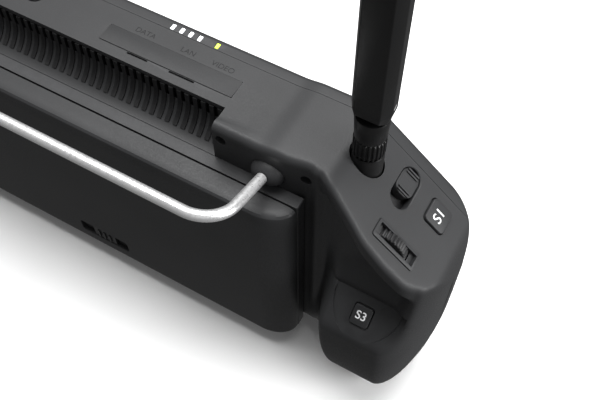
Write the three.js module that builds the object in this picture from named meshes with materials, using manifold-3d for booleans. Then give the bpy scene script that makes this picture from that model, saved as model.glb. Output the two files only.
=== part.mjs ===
// Handheld ground control station: a 7 inch screen between two grips, with stick gimbals, shoulder and
// rear keys, dials, slide switches, two folding paddle antennas, a steel carrying bail and a removable
// battery pack. Millimetres. The object stands upright on its two grips: +X to the side, -Y is the
// screen side, +Y the battery side, +Z up. Origin: on the table, in the middle of the outer box.
import * as THREE from 'three';
import { mergeVertices } from 'three/addons/utils/BufferGeometryUtils.js';
import Module from 'manifold-3d';

const wasm = await Module();
wasm.setup();

// ---------------------------------------------------------------- driving dimensions
const TOP = 130;                 // height of the middle of the top face
const CREST = 131;               // height of the shoulders
const HALF_WIDTH = 151.5;        // outermost grip surface
const SCREEN_Y = -25;            // front face
const BACK_Y = 10.3;             // rear face of the middle of the case
const PARTING_Y = -19;           // front and rear shells meet here
const WALL = 2.5;                // shell wall
const FRONT_WALL = 4;            // front wall, which carries the glass
const FIT = 0.3;                 // gap between neighbouring pieces
const SLOPE = THREE.MathUtils.degToRad(39.2);   // fall of the shoulder towards the outside
const RECESS_X = 60.1;           // half width of the cooling recess
const BAY_X = 96.5;              // half width of the battery bay
const BAY_TOP = 112;
const BAY_BOTTOM = 11;
const PACK_Y = 24.3;             // back face of the battery pack
const SEAM_Y = 15;               // bay and pack meet here
const PIVOT = [82, 9.5, 118.5];  // bail pivot
const BAIL_Y = 42;               // bar of the bail
const BAIL_Z = 129.3;
const ROD = 2.15;                // bail rod radius
const MAST = [111, -6];          // antenna axis
const MAST_TOP = 285;
const PIN_Z = 158;                // pin on which the antenna blade folds
const STICK = [118, -14, 84];    // centre of a gimbal
const DIAL = [131, 10.1, 110.6];                // the pieces on a shoulder sit on its sloping plane
const DIAL_DEPTH = 7.6;                         // axis of the wheel, below the shoulder
const SLIDER = [125.1, -8.7, 115.4];
const SLIDER_REST = -2.4;                       // the slider rests near the front end of its slot
const SHOULDER_KEY = [137.9, -10, 105];
const REAR_KEY = [127, 22.2, 71.2];
const LEDGE = Math.atan2(12, 14);               // tilt of the rear key's ledge
const LIGHTS = [24.2, 28.1, 31.9, 35.8, 43.2];  // light pipes, from the middle outwards

// Rear face, as height and depth: the palm swell, the outer flank, and the rim of the shoulder by
// distance from the middle.
const PALM = [[0, 30], [52, 30.3], [64, 29.6], [75.5, 17]];
const FLANK = [[0, 30], [52, 30.3], [70, 27.5], [85, 23.5], [100, 21.2]];
const RIM = [[95, 9], [100, 10.5], [104, 12.8], [107, 14.4], [111.5, 16], [116.3, 17.9], [121.3, 20.1],
  [130, 21.2]];
const LEDGE_Z = 77;              // top of the palm swell
const MIDDLE_Y = -8;             // depth at which the two faces of a grip meet

// ---------------------------------------------------------------- small helpers
function along(table, x) {
  const last = table.length - 1;
  if (x <= table[0][0]) return table[0][1];
  for (let i = 1; i <= last; i += 1) {
    if (x <= table[i][0]) {
      const [x0, y0] = table[i - 1];
      const [x1, y1] = table[i];
      return y0 + (y1 - y0) * (x - x0) / (x1 - x0);
    }
  }
  return table[last][1];
}

function step(low, high, x) {
  const t = Math.min(1, Math.max(0, (x - low) / (high - low)));
  return t * t * (3 - 2 * t);
}

const round = (t) => 1 - Math.sqrt(1 - Math.min(1, Math.max(0, t)) ** 2);
const quarter = (t) => Math.sqrt(1 - (1 - Math.min(1, Math.max(0, t))) ** 2);

function toSolid(geometry) {
  const bare = geometry.clone();
  bare.deleteAttribute('normal');
  bare.deleteAttribute('uv');
  const merged = mergeVertices(bare, 1e-4);
  return new wasm.Manifold(new wasm.Mesh({
    numProp: 3,
    vertProperties: new Float32Array(merged.attributes.position.array),
    triVerts: new Uint32Array(merged.index.array),
  }));
}

function toGeometry(solid) {
  const mesh = solid.getMesh();
  const geometry = new THREE.BufferGeometry();
  geometry.setAttribute('position', new THREE.BufferAttribute(new Float32Array(mesh.vertProperties), 3));
  geometry.setIndex(Array.from(mesh.triVerts));
  return geometry;
}

function cut(body, ...tools) {
  return toGeometry(tools.reduce((solid, tool) => solid.subtract(toSolid(tool)), toSolid(body)));
}

function join(...pieces) {
  return toGeometry(pieces.slice(1).reduce((solid, piece) => solid.add(toSolid(piece)), toSolid(pieces[0])));
}

function common(a, b) {
  return toGeometry(toSolid(a).intersect(toSolid(b)));
}

// A box from its lowest to its highest corner.
function box(x0, x1, y0, y1, z0, z1) {
  const geometry = new THREE.BoxGeometry(x1 - x0, y1 - y0, z1 - z0);
  return geometry.translate((x0 + x1) / 2, (y0 + y1) / 2, (z0 + z1) / 2);
}

// A cylinder along one axis, from one end to the other, centred on the two other coordinates.
function rod(axis, radius, from, to, u, v, sides = 20) {
  const geometry = new THREE.CylinderGeometry(radius, radius, to - from, sides);
  const middle = (from + to) / 2;
  if (axis === 'x') return geometry.rotateZ(-Math.PI / 2).translate(middle, u, v);
  if (axis === 'y') return geometry.translate(u, middle, v);
  return geometry.rotateX(Math.PI / 2).translate(u, v, middle);
}

// A turned piece about the local Z axis, from [radius, height] points.
function turned(points, sides = 24) {
  const profile = points.map(([r, z]) => new THREE.Vector2(r, z));
  return new THREE.LatheGeometry(profile, sides).rotateX(Math.PI / 2);
}

// A rounded rectangle as an extruded block, standing on local z0 and reaching local z1.
function pad(length, width, radius, z0, z1, arc = 4) {
  const shape = new THREE.Shape();
  const x = length / 2 - radius;
  const y = width / 2 - radius;
  shape.absarc(x, y, radius, 0, Math.PI / 2);
  shape.absarc(-x, y, radius, Math.PI / 2, Math.PI);
  shape.absarc(-x, -y, radius, Math.PI, 1.5 * Math.PI);
  shape.absarc(x, -y, radius, 1.5 * Math.PI, 2 * Math.PI);
  const settings = { depth: z1 - z0, bevelEnabled: false, curveSegments: arc };
  const geometry = new THREE.ExtrudeGeometry(shape, settings);
  return geometry.translate(0, 0, z0);
}

// Puts local X, Y, Z on the given directions at a place.
function placed(geometry, place, xAxis, yAxis, zAxis) {
  const matrix = new THREE.Matrix4().makeBasis(
    new THREE.Vector3(...xAxis), new THREE.Vector3(...yAxis), new THREE.Vector3(...zAxis));
  matrix.setPosition(new THREE.Vector3(...place));
  return geometry.clone().applyMatrix4(matrix);
}

// A toothed disc: the rim goes in and out `teeth` times.
function toothed(radius, depth, teeth, z0, z1, bore = 0) {
  const shape = new THREE.Shape();
  for (let i = 0; i < teeth * 2; i += 1) {
    const r = i % 2 ? radius - depth : radius;
    const angle = Math.PI * i / teeth;
    const point = [r * Math.cos(angle), r * Math.sin(angle)];
    if (i === 0) shape.moveTo(...point);
    else shape.lineTo(...point);
  }
  shape.closePath();
  if (bore) {
    const hole = new THREE.Path();
    hole.absarc(0, 0, bore, 0, 2 * Math.PI, true);
    shape.holes.push(hole);
  }
  const settings = { depth: z1 - z0, bevelEnabled: false, curveSegments: 10 };
  const geometry = new THREE.ExtrudeGeometry(shape, settings);
  return geometry.translate(0, 0, z0);
}

function mirrored(geometry) {
  const copy = geometry.index ? geometry.toNonIndexed() : geometry.clone();
  const position = copy.attributes.position;
  for (let i = 0; i < position.count; i += 3) {
    const corner = [0, 1, 2].map((k) => new THREE.Vector3().fromBufferAttribute(position, i + k));
    [corner[0], corner[2], corner[1]].forEach((p, k) => position.setXYZ(i + k, -p.x, p.y, p.z));
  }
  copy.deleteAttribute('normal');
  return copy;
}

// ---------------------------------------------------------------- the case as one lofted hull
// Height of the upper outline: flat, up to the shoulder, down its slope, round at the side.
function topLine(a) {
  const crown = TOP + step(77, 86, a);
  const slope = CREST - (a - 106) * Math.tan(SLOPE);
  return Math.min(crown, slope + 0.6 * step(112, 106, a)) - 14 * round((a - 147) / (HALF_WIDTH - 147));
}

// Height of the lower outline: the belly of the case, then the round end of a grip.
function bottomLine(a) {
  return 11 * (1 - step(96, 114, a)) + 46 * round((a - 137) / (HALF_WIDTH - 137));
}

// Depth of the rear face at a distance from the middle and a height, under an outline of a given height.
function rearDepth(a, z, top) {
  const base = BACK_Y - 1.3 * step(88, 99, a);
  const groove = 11.6 + 3.9 * step(90, LEDGE_Z, z);
  const inner = z < LEDGE_Z - 1.5 ? along(PALM, z) : groove;
  const body = inner + (along(FLANK, z) - inner) * step(136, 146, a);
  const flare = step(70, 15, z);
  const low = 104.5 - 6 * flare;
  const rising = step(80, 104, z);
  const swell = step(low, low + 9.5 + 11 * flare, a) * (1 - rising) + step(105, 122, a) * rising;
  const depth = base + swell * (body - 9);
  return depth + Math.max(0, along(RIM, a) - depth) * (1 - step(8.5, 17, top - z));
}

// One slice of the case at a distance a from the middle: a closed loop of [y, z] points.
function slice(a, inset) {
  const grip = step(97, 112, a);
  const reach = Math.min(HALF_WIDTH, a + inset);
  const side = 1 - round(Math.min(0.985, Math.max(0, (reach - 137) / 14.5)));
  const top = topLine(reach) - inset;
  const bottom = bottomLine(reach) + inset;
  const edge = Math.min(LEDGE_Z, top - 0.35 * (top - bottom));
  const upper = inset ? [0, 0.1, 0.3, 0.6, 1] : [0, 0.02, 0.05, 0.1, 0.18, 0.28, 0.38, 0.6, 0.8, 1];
  const lower = inset ? [0.155, 0.4, 0.75, 0.92, 1] : [0.03, 0.155, 0.35, 0.55, 0.72, 0.85, 0.94, 1];
  const heights = upper.map((t) => top - (top - edge) * t);
  heights.push(...lower.map((t) => edge - (edge - bottom) * t));
  const shrink = (y) => MIDDLE_Y + (y - MIDDLE_Y) * side;
  const rear = heights.map((z) => {
    const fillet = 5 * (1 - quarter((top - z) / 5));
    const belly = (4 + 22 * grip) * (1 - quarter((z - bottom) / (4 + 43 * grip)));
    return [shrink(rearDepth(a, z, top) - inset - fillet - belly), z];
  });
  const face = SCREEN_Y + (inset ? FRONT_WALL : 0);
  const frontSteps = inset ? [1, 0.85, 0.5, 0] : [1, 0.96, 0.88, 0.7, 0.4];
  const frontHeights = frontSteps.map((t) => edge - (edge - bottom) * t);
  frontHeights.push(...(inset ? [top - 2.7, top] : [top - 2.7, top - 1, top]));
  const front = frontHeights.map((z) => {
    const fillet = 2.7 * (1 - quarter((top - z) / 2.7));
    const belly = (3 + 12 * grip) * (1 - quarter((z - bottom) / (3 + 37 * grip)));
    return [shrink(face + fillet + belly), z];
  });
  return [...rear, ...front];
}

function hull(inset) {
  const outer = [0, 77, 82, 86, 95, 99, 103, 106, 109, 112, 115, 118, 123, 130, 137, 141, 144.5,
    147.5, 149.8, 151];
  const inner = [0, 78, 85, 98, 104, 109, 118, 123, 133, 138, 143, 147];
  const reach = inset ? inner : outer;
  reach.push(HALF_WIDTH - inset);
  const stations = [...reach.slice(1).reverse().map((a) => -a), ...reach];
  const loops = stations.map((x) => slice(Math.abs(x), inset).map(([y, z]) => [x, y, z]));
  const count = loops[0].length;
  const position = loops.flat(2);
  const index = [];
  for (let i = 0; i + 1 < loops.length; i += 1) {
    for (let j = 0; j < count; j += 1) {
      const a = i * count + j;
      const b = i * count + (j + 1) % count;
      index.push(a, b + count, b, a, a + count, b + count);
    }
  }
  const ends = [0, (loops.length - 1) * count];
  ends.forEach((start, side) => {
    const loop = loops[side ? loops.length - 1 : 0];
    const centre = [loop[0][0], -8, loop.reduce((sum, p) => sum + p[2], 0) / count];
    const tip = position.length / 3;
    position.push(...centre);
    for (let j = 0; j < count; j += 1) {
      const a = start + j;
      const b = start + (j + 1) % count;
      index.push(...(side ? [tip, b, a] : [tip, a, b]));
    }
  });
  const geometry = new THREE.BufferGeometry();
  geometry.setAttribute('position', new THREE.Float32BufferAttribute(position, 3));
  geometry.setIndex(index);
  return geometry;
}

// Local frames of a shoulder (left side) and of the rear ledge.
const SLOPE_NORMAL = [-Math.sin(SLOPE), 0, Math.cos(SLOPE)];
const SLOPE_ALONG = [Math.cos(SLOPE), 0, Math.sin(SLOPE)];
const LEDGE_NORMAL = [0, Math.sin(LEDGE), Math.cos(LEDGE)];
const LEDGE_DOWN = [0, Math.cos(LEDGE), -Math.sin(LEDGE)];
const left = ([x, y, z]) => [-x, y, z];
const onShoulder = (geometry, place) => placed(geometry, left(place), SLOPE_ALONG, [0, 1, 0], SLOPE_NORMAL);
const onLedge = (geometry, place) => placed(geometry, left(place), [1, 0, 0], LEDGE_DOWN, LEDGE_NORMAL);
// Local Z towards the screen side, local X to the right as the user sees it.
const onFace = (geometry, place) => placed(geometry, place, [1, 0, 0], [0, 0, 1], [0, -1, 0]);

const dialCentre = () => left(DIAL).map((value, k) => value - DIAL_DEPTH * SLOPE_NORMAL[k]);

function bothSides(geometry) {
  return [geometry, mirrored(geometry)];
}

// ---------------------------------------------------------------- shells
const FAR = 400;
const PORT_WELL = [-58.4, -5.2, -10.3, -4.1];
const FLAP = [-59.5, -4, -10.9, -3.6, TOP - 1.4, TOP];
const SCREW_PLACES = [[-63.5, 124], [-96.3, 122.5], [63.5, 124], [96.3, 122.5]];
const SCREW_SEAT_Y = 3;

function recessTool() {
  const profile = new THREE.Shape([[1, TOP + 5], [30, TOP + 5], [30, BAY_TOP + 0.3], [11.5, BAY_TOP + 0.3],
    [7, 113.3], [3.8, 116], [2, 119.5], [-1.5, 119.5], [-1.5, TOP - 2.5], [1, TOP - 2.5]]
    .map(([y, z]) => new THREE.Vector2(y, z)));
  const geometry = new THREE.ExtrudeGeometry(profile, { depth: 2 * RECESS_X, bevelEnabled: false });
  return placed(geometry, [-RECESS_X, 0, 0], [0, 1, 0], [0, 0, 1], [1, 0, 0]);
}

function shellCore() {
  // The hollow inside the case steps forward above the bay, to stay inside the cooling recess.
  return cut(hull(WALL), box(-RECESS_X - 2, RECESS_X + 2, -3.2, 40, 98, FAR));
}

function rearShell() {
  const back = common(hull(0), box(-FAR, FAR, PARTING_Y, FAR, -FAR, FAR));
  const hollow = cut(back, shellCore());
  const bosses = SCREW_PLACES.map(([x, z]) => rod('y', 3.6, -17, 8.5, x, z, 16));
  const body = join(hollow, ...bosses);
  const [x0, x1, y0, y1] = PORT_WELL;
  const tools = [
    recessTool(),
    box(-78.3, 78.3, -6, 30, 24.7, 91.3),
    box(FLAP[0] - FIT, FLAP[1] + FIT, FLAP[2] - FIT, FLAP[3] + FIT, FLAP[4] - FIT, TOP + 1),
    box(x0, x1, y0, y1, 116, TOP + 1),
    rod('z', 4.3, 118, TOP + 2, 30, -10, 20),
    ...SCREW_PLACES.map(([x, z]) => rod('y', 2.1, SCREW_SEAT_Y, 20, x, z, 16)),
    ...SCREW_PLACES.map(([x, z]) => rod('y', 1.4, -18, 5, x, z, 12)),
  ];
  const sideTools = [
    rod('x', 6, -PIVOT[0] - 7.4, -PIVOT[0] + 7.4, PIVOT[1], PIVOT[2], 24),
    rod('z', 6.1, 116, 140, -MAST[0], MAST[1], 24),
    onShoulder(pad(20.8, 7.6, 1.2, -1.3, 6), DIAL),
    rod('y', 9.5, 7.4, 11.1, dialCentre()[0], dialCentre()[2], 32),
    onShoulder(pad(9.1, 16.6, 4.54, -6, 6, 6), SLIDER),
    onShoulder(pad(10.3, 10.2, 1.8, -8, 6), SHOULDER_KEY),
    onLedge(pad(8, 8.7, 1.4, -8, 6), REAR_KEY),
  ];
  return cut(body, ...tools, ...sideTools.flatMap(bothSides));
}

const GLASS = [92, 22, 120];
const FRONT_KEYS = [[-126, 50], [-108, 50], [108, 50], [126, 50]];

function frontShell() {
  const front = common(hull(0), box(-FAR, FAR, -FAR, PARTING_Y - 0.15, -FAR, FAR));
  const hollow = cut(front, shellCore());
  const tools = [
    onFace(pad(2 * GLASS[0] + 2 * FIT, 98 + 2 * FIT, 4, -2, 3), [0, SCREEN_Y, 71]),
    box(-84, 84, SCREEN_Y - 1, -10, 28, 114),
    ...LIGHTS.map((x) => box(-x - 0.85, -x + 0.85, -22.3, -19.5, 124, TOP + 2)),
    ...FRONT_KEYS.map(([x, z]) => rod('y', 4.8, SCREEN_Y - 3, -15, x, z, 20)),
    ...[-1, 1].map((s) => rod('y', 14.6, SCREEN_Y - 3, -15, s * STICK[0], STICK[2], 32)),
    ...[-1, 1].map((s) => rod('y', 16.6, SCREEN_Y - 3, SCREEN_Y + 1.5, s * STICK[0], STICK[2], 32)),
  ];
  return cut(hollow, ...tools);
}

// ---------------------------------------------------------------- fixed pieces
function planOutline(halfWidth, y0, y1, corner) {
  const shape = new THREE.Shape();
  shape.moveTo(-halfWidth, y0);
  shape.lineTo(halfWidth, y0);
  if (corner) {
    shape.bezierCurveTo(halfWidth, y0 + (y1 - y0) * 0.6, halfWidth - corner * 0.5, y1,
      halfWidth - corner, y1);
    shape.lineTo(-halfWidth + corner, y1);
    shape.bezierCurveTo(-halfWidth + corner * 0.5, y1, -halfWidth, y0 + (y1 - y0) * 0.6, -halfWidth, y0);
  } else {
    shape.lineTo(halfWidth, y1);
    shape.lineTo(-halfWidth, y1);
    shape.closePath();
  }
  return shape;
}

function batteryBay() {
  const plate = box(-BAY_X, BAY_X, BACK_Y + FIT, SEAM_Y, BAY_BOTTOM, BAY_TOP);
  const tub = box(-78, 78, -5.5, BACK_Y + 1, 25, 91);
  return cut(join(plate, tub), box(-76.4, 76.4, -4, 30, 26.6, 89.4));
}

function batteryPack() {
  const outline = planOutline(BAY_X - 0.3, SEAM_Y + FIT, PACK_Y, 13);
  const cover = new THREE.ExtrudeGeometry(outline, { depth: BAY_TOP - 0.6 - BAY_BOTTOM, bevelEnabled: false,
    curveSegments: 8 }).translate(0, 0, BAY_BOTTOM + 0.3);
  const core = box(-76, 76, -3.4, SEAM_Y + 2, 27, 89);
  const latchWell = box(-13, 13, PACK_Y - 2, PACK_Y + 1, 19, 27);
  const topEdge = placed(box(-FAR, FAR, -6, 6, 0, 12), [0, PACK_Y - 0.6, BAY_TOP - 0.3],
    [1, 0, 0], [0, Math.cos(0.9), -Math.sin(0.9)], [0, Math.sin(0.9), Math.cos(0.9)]);
  return cut(join(cover, core), box(-74.5, 74.5, -20, 19.5, 28.5, 87.5), latchWell, topEdge);
}

function heatSink() {
  const fins = [];
  for (let x = -57; x <= 57.01; x += 3) fins.push(box(x - 0.5, x + 0.5, -0.4, 1.7, 119.9, 127.1));
  return join(box(-59, 59, -1.2, 0, 119.8, 127.2), ...fins);
}

function socket(x0, x1) {
  const [, , y0, y1] = PORT_WELL;
  const outer = box(x0, x1, y0 + 0.3, y1 - 0.3, 116.4, 127.6);
  return cut(outer, box(x0 + 0.5, x1 - 0.5, y0 + 0.8, y1 - 0.8, 118, 140));
}

function gimbalFrame() {
  const profile = [[12.4, 0], [14.2, 0], [14.2, 14.6], [16.2, 15.2], [16.2, 16.2], [14.2, 16.2],
    [12.4, 14.5], [12.4, 0]];
  return onFace(turned(profile, 32), [-STICK[0], SCREEN_Y + 15.6, STICK[2]]);
}

function dialBezel() {
  const ring = cut(pad(20.3, 7.1, 1, -1, 0.5), box(-9.1, 9.1, -2.3, 2.3, -3, 3));
  return onShoulder(ring, DIAL);
}

function switchBody() {
  return onShoulder(pad(11, 20.6, 1, -8.6, -4.9), SLIDER);
}

function screw(x, z) {
  const shank = rod('y', 1.15, -14, SCREW_SEAT_Y + 0.5, x, z, 12);
  const head = rod('y', 1.8, SCREW_SEAT_Y + 0.3, SCREW_SEAT_Y + 1.9, x, z, 16);
  return cut(join(shank, head), rod('y', 0.8, SCREW_SEAT_Y + 1, SCREW_SEAT_Y + 3, x, z, 6));
}

// ---------------------------------------------------------------- moving pieces
class BailPath extends THREE.Curve {
  constructor() {
    super();
    const rise = [BAIL_Y - PIVOT[1], BAIL_Z - PIVOT[2]];
    const length = Math.hypot(...rise);
    this.arm = [0, rise[0] / length, rise[1] / length];
    this.straight = length - 12;
    this.start = 5.2;
    this.bend = 12;
    this.bar = PIVOT[0] - 12;
    this.parts = [this.straight - this.start, this.bend * Math.PI / 2, 2 * this.bar,
      this.bend * Math.PI / 2, this.straight - this.start];
  }

  // Distance along the bail becomes a place in its own plane: sideways, then outwards.
  getPoint(t) {
    const total = this.parts.reduce((sum, part) => sum + part, 0);
    let s = t * total;
    const flip = s > total / 2;
    if (flip) s = total - s;
    let side = -PIVOT[0];
    let out = this.start + s;
    if (s > this.parts[0]) {
      const turn = Math.min(Math.PI / 2, (s - this.parts[0]) / this.bend);
      side = -PIVOT[0] + this.bend * (1 - Math.cos(turn));
      out = this.straight + this.bend * Math.sin(turn);
      side += Math.max(0, s - this.parts[0] - this.parts[1]);
    }
    const x = flip ? -side : side;
    return new THREE.Vector3(x, PIVOT[1] + out * this.arm[1], PIVOT[2] + out * this.arm[2]);
  }
}

function bail() {
  const circle = new THREE.Shape();
  circle.absarc(0, 0, ROD, 0, 2 * Math.PI);
  return new THREE.ExtrudeGeometry(circle, { steps: 40, curveSegments: 5, bevelEnabled: false,
    extrudePath: new BailPath() });
}

function bailPivot() {
  const barrel = rod('x', 5.6, -PIVOT[0] - 7, -PIVOT[0] + 7, PIVOT[1], PIVOT[2], 24);
  const rise = Math.atan2(BAIL_Z - PIVOT[2], BAIL_Y - PIVOT[1]);
  const bore = new THREE.CylinderGeometry(ROD + 0.3, ROD + 0.3, 20, 16).translate(0, 14.6, 0)
    .rotateX(rise).translate(-PIVOT[0], PIVOT[1], PIVOT[2]);
  return cut(barrel, bore);
}

function antennaCollar() {
  const ring = toothed(5.6, 0.45, 22, 132, 140, 3.3);
  return ring.translate(-MAST[0], MAST[1], 0);
}

function antennaJack() {
  const profile = [[0, 117], [5.5, 117], [5.5, 131.6], [3, 131.6], [3, 135.4], [0, 135.4]];
  return turned(profile, 24).translate(-MAST[0], MAST[1], 0);
}

function antennaSleeve() {
  const body = turned([[0, 136], [3, 136], [3, 140.3], [5.4, 140.3], [5.9, PIN_Z - 7.4], [0, PIN_Z - 7.4]]);
  const tongue = [box(-2.3, 2.3, -3.4, 3.4, PIN_Z - 8, PIN_Z), rod('x', 3.4, -2.3, 2.3, 0, PIN_Z, 20)];
  const whole = join(body, ...tongue);
  return cut(whole, rod('x', 1.4, -20, 20, 0, PIN_Z, 12)).translate(-MAST[0], MAST[1], 0);
}

function antennaBlade() {
  const octagon = new THREE.Shape([[-6.9, -1.8], [-4.6, -5.8], [4.6, -5.8], [6.9, -1.8], [6.9, 1.8],
    [4.6, 5.8], [-4.6, 5.8], [-6.9, 1.8]].map(([x, y]) => new THREE.Vector2(x, y)));
  const paddle = new THREE.ExtrudeGeometry(octagon, { depth: MAST_TOP - PIN_Z + 7, bevelEnabled: false })
    .translate(0, 0, PIN_Z - 7);
  const reach = join(box(-8, 8, -8, 8, PIN_Z, MAST_TOP + 1), rod('x', 7, -8, 8, 0, PIN_Z, 32));
  const forked = cut(common(paddle, reach), box(-2.6, 2.6, -20, 3.7, PIN_Z - 10, PIN_Z + 4.2));
  return join(forked, rod('x', 1.1, -6.7, 6.7, 0, PIN_Z, 12)).translate(-MAST[0], MAST[1], 0);
}

function stickYoke() {
  const ring = turned([[4.3, -2], [6.2, -2], [6.2, 2], [4.3, 2], [4.3, -2]], 24);
  const pins = [rod('x', 1.5, 5.6, 12, 0, 0, 12), rod('x', 1.5, -12, -5.6, 0, 0, 12)];
  return onFace(join(ring, ...pins), left(STICK));
}

function stick() {
  const stem = turned([[0, -1.5], [1.9, -1.5], [1.9, 20], [3.4, 21], [3.7, 24],
    [3.7, 29.2], [2.9, 30.15], [0, 30.15]], 16);
  const hub = rod('y', 1.4, -4, 4, 0, 0, 12);
  const dome = [];
  const onArc = (radius, i) => [radius * Math.sin(0.12 + i * 0.15), radius * Math.cos(0.12 + i * 0.15)];
  for (let i = 0; i <= 4; i += 1) dome.push(onArc(11.8, i));
  for (let i = 4; i >= 0; i -= 1) dome.push(onArc(10.6, i));
  dome.push(dome[0]);
  return onFace(join(stem, hub, turned(dome.reverse(), 20)), left(STICK));
}

function dialWheel() {
  const wheel = toothed(9, 0.5, 36, -1.45, 1.45);
  const axle = rod('z', 1.2, -1.7, 1.7, 0, 0, 10);
  const [x, , z] = dialCentre();
  return placed(join(wheel, axle), [x, 9.25, z], SLOPE_ALONG, SLOPE_NORMAL.map((v) => -v), [0, 1, 0]);
}

function slider() {
  const base = pad(8.2, 10.4, 3.2, -4.2, -0.6, 5).translate(0, SLIDER_REST, 0);
  const ridges = [-4.4, -3.2, 3.2, 4.4].map((y) => box(-2.8, 2.8, y - 0.35, y + 0.35, -0.8, 0.3)
    .translate(0, SLIDER_REST, 0));
  return onShoulder(join(base, ...ridges), SLIDER);
}

const shoulderKey = () => onShoulder(pad(9.7, 9.6, 1.6, -5, 0.9), SHOULDER_KEY);
const rearKey = () => onLedge(pad(7.3, 8, 1.1, -5, 0.3), REAR_KEY);
const FRONT_KEY_PROFILE = [[0, -7], [4.5, -7], [4.5, 0.8], [3.9, 1.2], [0, 1.2]];
const frontKey = (x, z) => onFace(turned(FRONT_KEY_PROFILE, 20), [x, SCREEN_Y, z]);

function portFlap() {
  const [x0, x1, y0, y1, z0, z1] = FLAP;
  const lid = box(x0, x1, y0, y1, z0, z1);
  return cut(lid, box(-26.1, -16.5, y1 - 1, y1 + 1, z1 - 0.7, z1 + 1),
    box(-45.3, -34.1, y1 - 1, y1 + 1, z1 - 0.7, z1 + 1));
}

// ---------------------------------------------------------------- assembly
const FINISH = {
  plastic: [0x3a3b3d, 0.75, 0],
  dark: [0x1c1d1f, 0.6, 0],
  gloss: [0x0c0c0e, 0.25, 0],
  steel: [0xc9cacc, 0.25, 1],
  alloy: [0x2a2b2d, 0.5, 0.8],
  board: [0x1f4a33, 0.6, 0],
  light: [0xf4f8ff, 0.3, 0],
  ready: [0xc8e838, 0.3, 0],
  rubber: [0x2d2e30, 0.9, 0],
};

const model = new THREE.Group();

function add(name, geometry, finish) {
  const [color, roughness, metalness] = FINISH[finish];
  const mesh = new THREE.Mesh(geometry, new THREE.MeshStandardMaterial({ color, roughness, metalness }));
  mesh.name = name;
  model.add(mesh);
}

function addPair(name, geometry, finish) {
  add(`left_${name}`, geometry, finish);
  add(`right_${name}`, mirrored(geometry), finish);
}

add('front_shell', frontShell(), 'plastic');
add('rear_shell', rearShell(), 'plastic');
add('battery_bay', batteryBay(), 'plastic');
add('heat_sink', heatSink(), 'alloy');
add('cover_glass', onFace(pad(2 * GLASS[0], 98, 3.7, -1.7, 0), [0, SCREEN_Y, 71]), 'gloss');
add('display_panel', box(-82, 82, -22.9, -18, 30, 112), 'dark');
add('main_board', box(-70, 70, -13, -11.4, 30, 94), 'board');
add('radio_board', box(-52, 52, -16.8, -15.2, 98, 124), 'board');
add('data_port', socket(-24.4, -10.4), 'steel');
add('network_port', socket(-41.8, -28.6), 'steel');
add('video_port', socket(-57.8, -43.2), 'steel');
LIGHTS.forEach((x, i) => {
  const pipe = box(-x - 0.6, -x + 0.6, -22, -19.8, 125, TOP);
  add(i < 4 ? `battery_light_${i + 1}` : 'status_light', pipe, i < 4 ? 'light' : 'ready');
});
SCREW_PLACES.forEach(([x, z], i) => add(`rear_screw_${i + 1}`, screw(x, z), 'alloy'));
addPair('antenna_jack', antennaJack(), 'gloss');
addPair('gimbal_frame', gimbalFrame(), 'alloy');
addPair('dial_bezel', dialBezel(), 'plastic');
addPair('switch_body', switchBody(), 'dark');
add('bail_rod', bail(), 'steel');
addPair('bail_pivot', bailPivot(), 'dark');
addPair('antenna_collar', antennaCollar(), 'gloss');
addPair('antenna_sleeve', antennaSleeve(), 'gloss');
addPair('antenna_blade', antennaBlade(), 'gloss');
addPair('stick_yoke', stickYoke(), 'alloy');
addPair('stick', stick(), 'alloy');
addPair('dial_wheel', dialWheel(), 'dark');
addPair('mode_slider', slider(), 'dark');
add('shoulder_key_s1', shoulderKey(), 'dark');
add('shoulder_key_s2', mirrored(shoulderKey()), 'dark');
add('rear_key_s3', rearKey(), 'dark');
add('rear_key_s4', mirrored(rearKey()), 'dark');
FRONT_KEYS.forEach(([x, z], i) => add(`front_key_${i + 1}`, frontKey(x, z), 'dark'));
add('power_key', rod('z', 4, 123, TOP + 0.5, 30, -10, 20), 'dark');
add('port_flap', portFlap(), 'rubber');
add('battery_pack', batteryPack(), 'plastic');
add('battery_latch', join(box(-6, 6, PACK_Y - 1.6, PACK_Y - 0.4, 19.6, 26.4),
  ...[-3, 0, 3].map((x) => box(x - 0.5, x + 0.5, PACK_Y - 0.6, PACK_Y + 0.2, 20.5, 25.5))), 'dark');
[-49.5, 0, 49.5].forEach((x, i) => {
  add(`battery_cell_${i + 1}`, box(x - 23.5, x + 23.5, 0, 18, 32, 84), 'alloy');
});

export default model;
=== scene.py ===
import math

import bmesh
import bpy
import numpy as np
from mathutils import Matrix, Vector


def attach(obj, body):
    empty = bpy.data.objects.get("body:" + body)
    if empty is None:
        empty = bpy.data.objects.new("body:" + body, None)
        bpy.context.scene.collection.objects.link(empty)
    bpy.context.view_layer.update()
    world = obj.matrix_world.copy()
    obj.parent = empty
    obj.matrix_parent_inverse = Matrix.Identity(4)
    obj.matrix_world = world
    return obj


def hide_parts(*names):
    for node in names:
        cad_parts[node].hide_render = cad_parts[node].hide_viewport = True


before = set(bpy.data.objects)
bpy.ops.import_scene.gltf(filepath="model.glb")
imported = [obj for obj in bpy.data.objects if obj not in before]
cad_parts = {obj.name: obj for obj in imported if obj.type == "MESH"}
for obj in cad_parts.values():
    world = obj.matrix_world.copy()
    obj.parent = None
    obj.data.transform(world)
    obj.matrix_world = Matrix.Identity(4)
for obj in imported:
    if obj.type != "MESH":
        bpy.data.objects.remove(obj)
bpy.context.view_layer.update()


# ---------------------------------------------------------------- Camera, lights and table
# The controller stands on its grips on a white table, seen from behind and above its left shoulder.
# A wide lamp hangs overhead; a tall strip beside the left grip draws the rim of light along it.
camera_data = bpy.data.cameras.new("camera")
camera_data.lens = 49.0
camera = bpy.data.objects.new("camera", camera_data)
bpy.context.scene.collection.objects.link(camera)
camera.location = (-0.1664, 0.1383, 0.350)
look = Vector((0.2557, -0.4551, -0.8529))
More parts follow.
